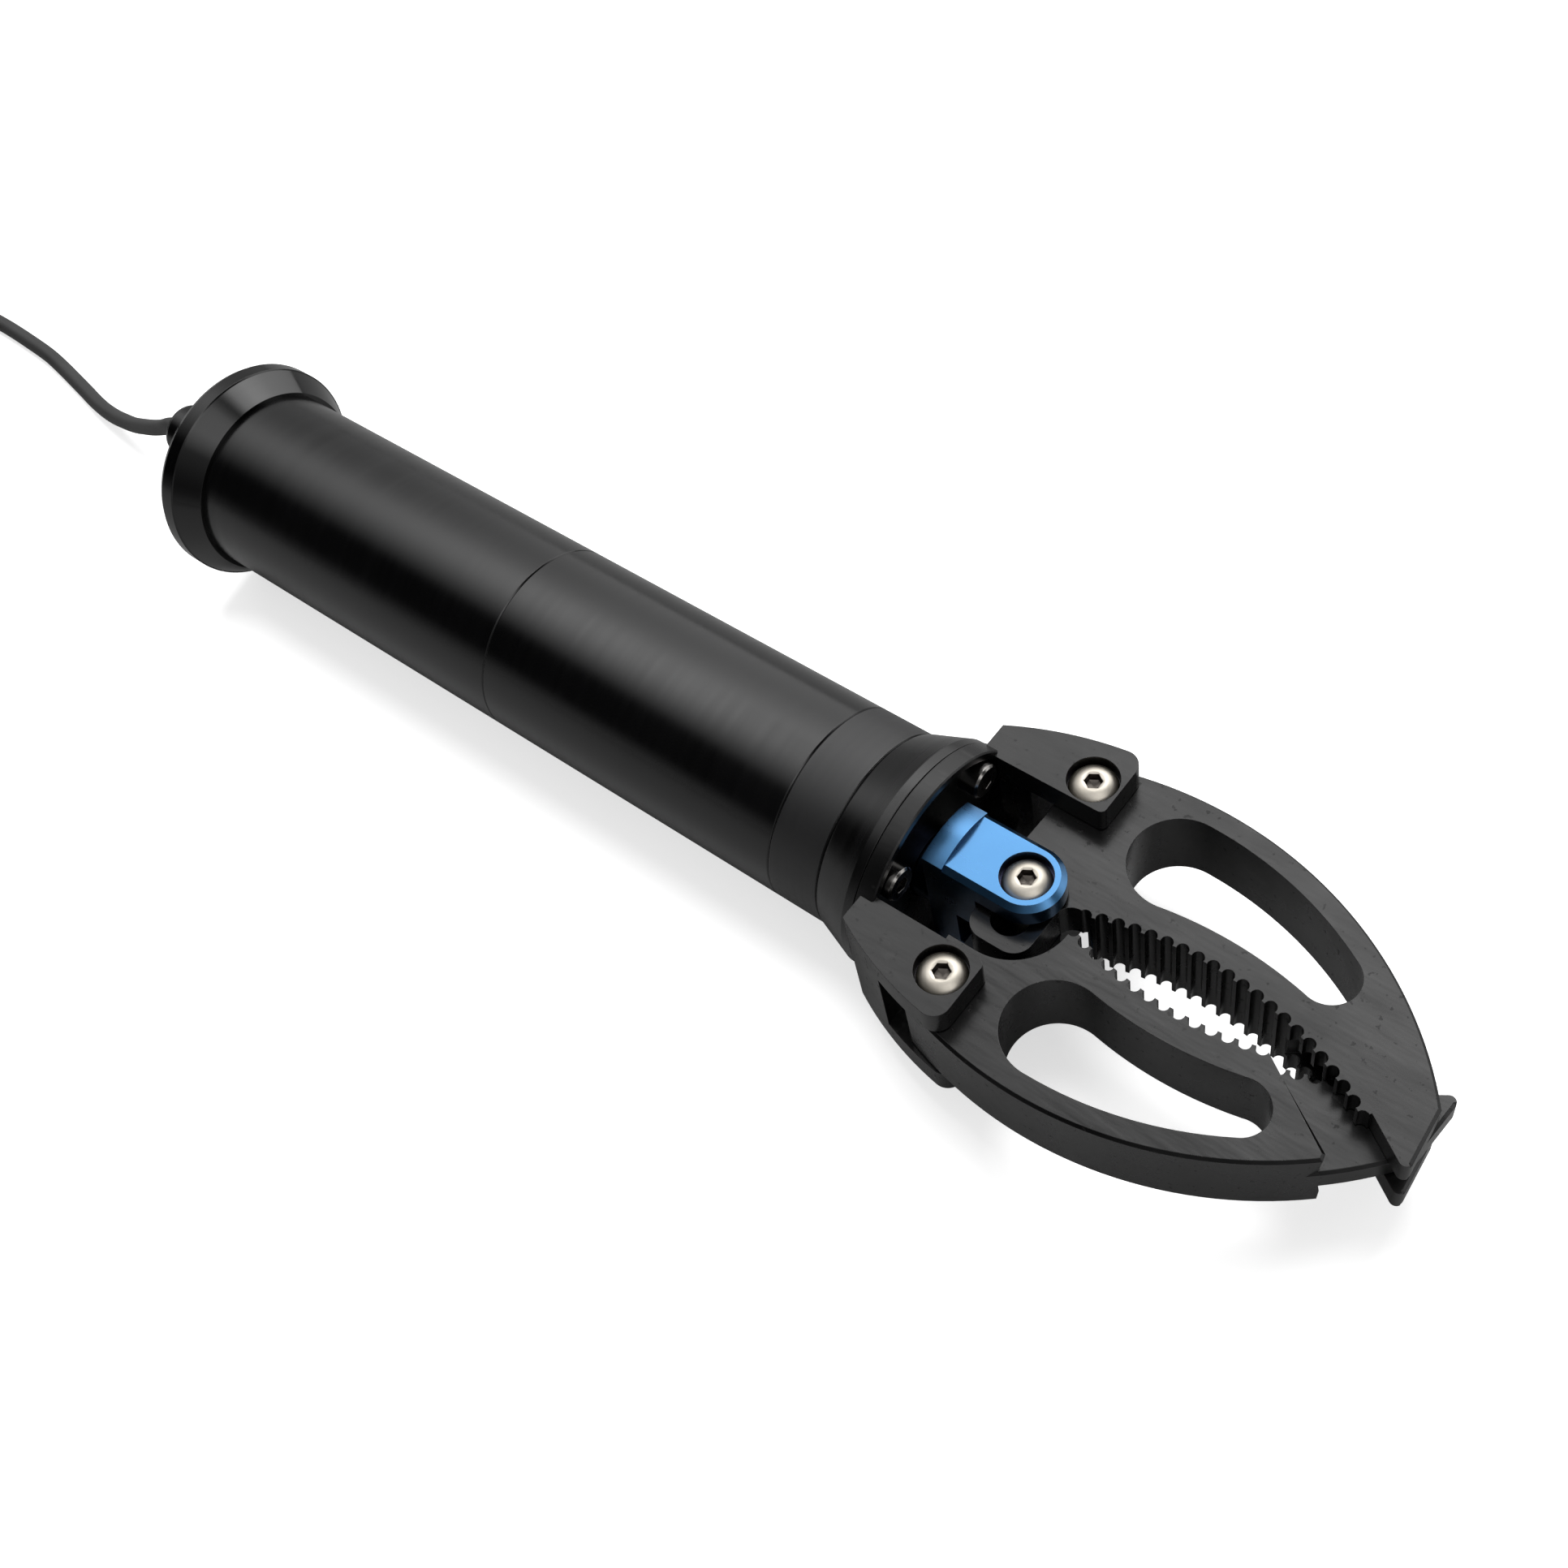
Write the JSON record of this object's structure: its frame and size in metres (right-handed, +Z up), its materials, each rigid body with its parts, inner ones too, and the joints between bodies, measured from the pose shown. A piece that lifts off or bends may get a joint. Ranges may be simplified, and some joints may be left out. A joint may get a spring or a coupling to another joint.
{
  "type": "electric two finger gripper",
  "caption": "Sealed tubular electric gripper with serrated interleaving jaws that a lead screw plunger opens and closes, on a thin cable.",
  "frame": {"origin": "on the body's axis, where the rear tube meets the tail cap's shoulder", "axes": "+X along the body to the jaw tips, +Y to the fork jaw's side, +Z up, out of the jaws' flat upper faces"},
  "size_m": [0.4977, 0.1011, 0.0508],
  "materials": {
    "black_anodised": "satin black anodised",
    "blue_anodised": "satin blue anodised",
    "bare_aluminium": "machined",
    "stainless": "satin stainless",
    "motor_steel": "plated",
    "nut_brass": "machined",
    "seal_rubber": "matte",
    "cable_jacket": "matte jacket",
    "housing_plastic": "matte",
    "board_laminate": "coated laminate"
  },
  "bodies": {
    "housing": {"tail_cap": "black_anodised", "tail_orings": "seal_rubber", "cable_gland": "black_anodised", "gland_oring": "seal_rubber", "gland_nut": "stainless", "supply_leads": "cable_jacket", "board_bracket": "bare_aluminium", "bracket_screws": "stainless", "controller_board": "board_laminate", "board_parts": "housing_plastic", "board_screws": "stainless", "rear_tube": "black_anodised", "joint_ring": "bare_aluminium", "joint_orings": "seal_rubber", "front_tube": "black_anodised", "motor": "motor_steel", "motor_leads": "cable_jacket", "gearbox": "motor_steel", "motor_mount": "bare_aluminium", "motor_screws": "stainless", "screw_bearings": "stainless", "bearing_retainer": "bare_aluminium", "front_collar": "black_anodised", "collar_orings": "seal_rubber", "rod_seal": "seal_rubber", "rod_wiper": "seal_rubber", "jaw_base": "black_anodised", "base_screws": "stainless", "pivot_screws": "stainless", "cable": "cable_jacket", "cable_coil": "cable_jacket", "cable_connector": "housing_plastic"},
    "drive_screw": {"gearbox_shaft": "stainless", "shaft_coupling": "bare_aluminium", "lead_screw": "stainless", "bearing_nut": "stainless"},
    "plunger": {"plunger": "blue_anodised", "plunger_nut": "nut_brass", "drive_pin": "stainless", "pin_sleeve": "stainless"},
    "fork_jaw": {"fork_jaw": "black_anodised", "fork_bushing": "nut_brass"},
    "tongue_jaw": {"tongue_jaw": "black_anodised", "tongue_bushing": "nut_brass"}
  },
  "joints": [
    {"name": "fork_jaw_hinge", "type": "hinge", "parent": "housing", "child": "fork_jaw", "pos_m": [0.2104, 0.0236, 0], "axis": [0, 0, 1], "range_deg": [0, 26.4]},
    {"name": "tongue_jaw_hinge", "type": "hinge", "parent": "housing", "child": "tongue_jaw", "pos_m": [0.2104, -0.0236, 0], "axis": [0, 0, -1], "range_deg": [0, 26.4]},
    {"name": "plunger_slide", "type": "slide", "parent": "housing", "child": "plunger", "axis": [1, 0, 0], "range_m": [0, 0.012]},
    {"name": "screw_spin", "type": "hinge", "parent": "housing", "child": "drive_screw", "pos_m": [0.145, 0, 0], "axis": [1, 0, 0], "range_deg": [0, 2160]}
  ],
  "couplings": [
    {"joint": "tongue_jaw_hinge", "follows": "fork_jaw_hinge", "ratio": 1},
    {"joint": "plunger_slide", "follows": "fork_jaw_hinge", "m_per_rad": 0.02604},
    {"joint": "screw_spin", "follows": "fork_jaw_hinge", "ratio": 81.8}
  ]
}
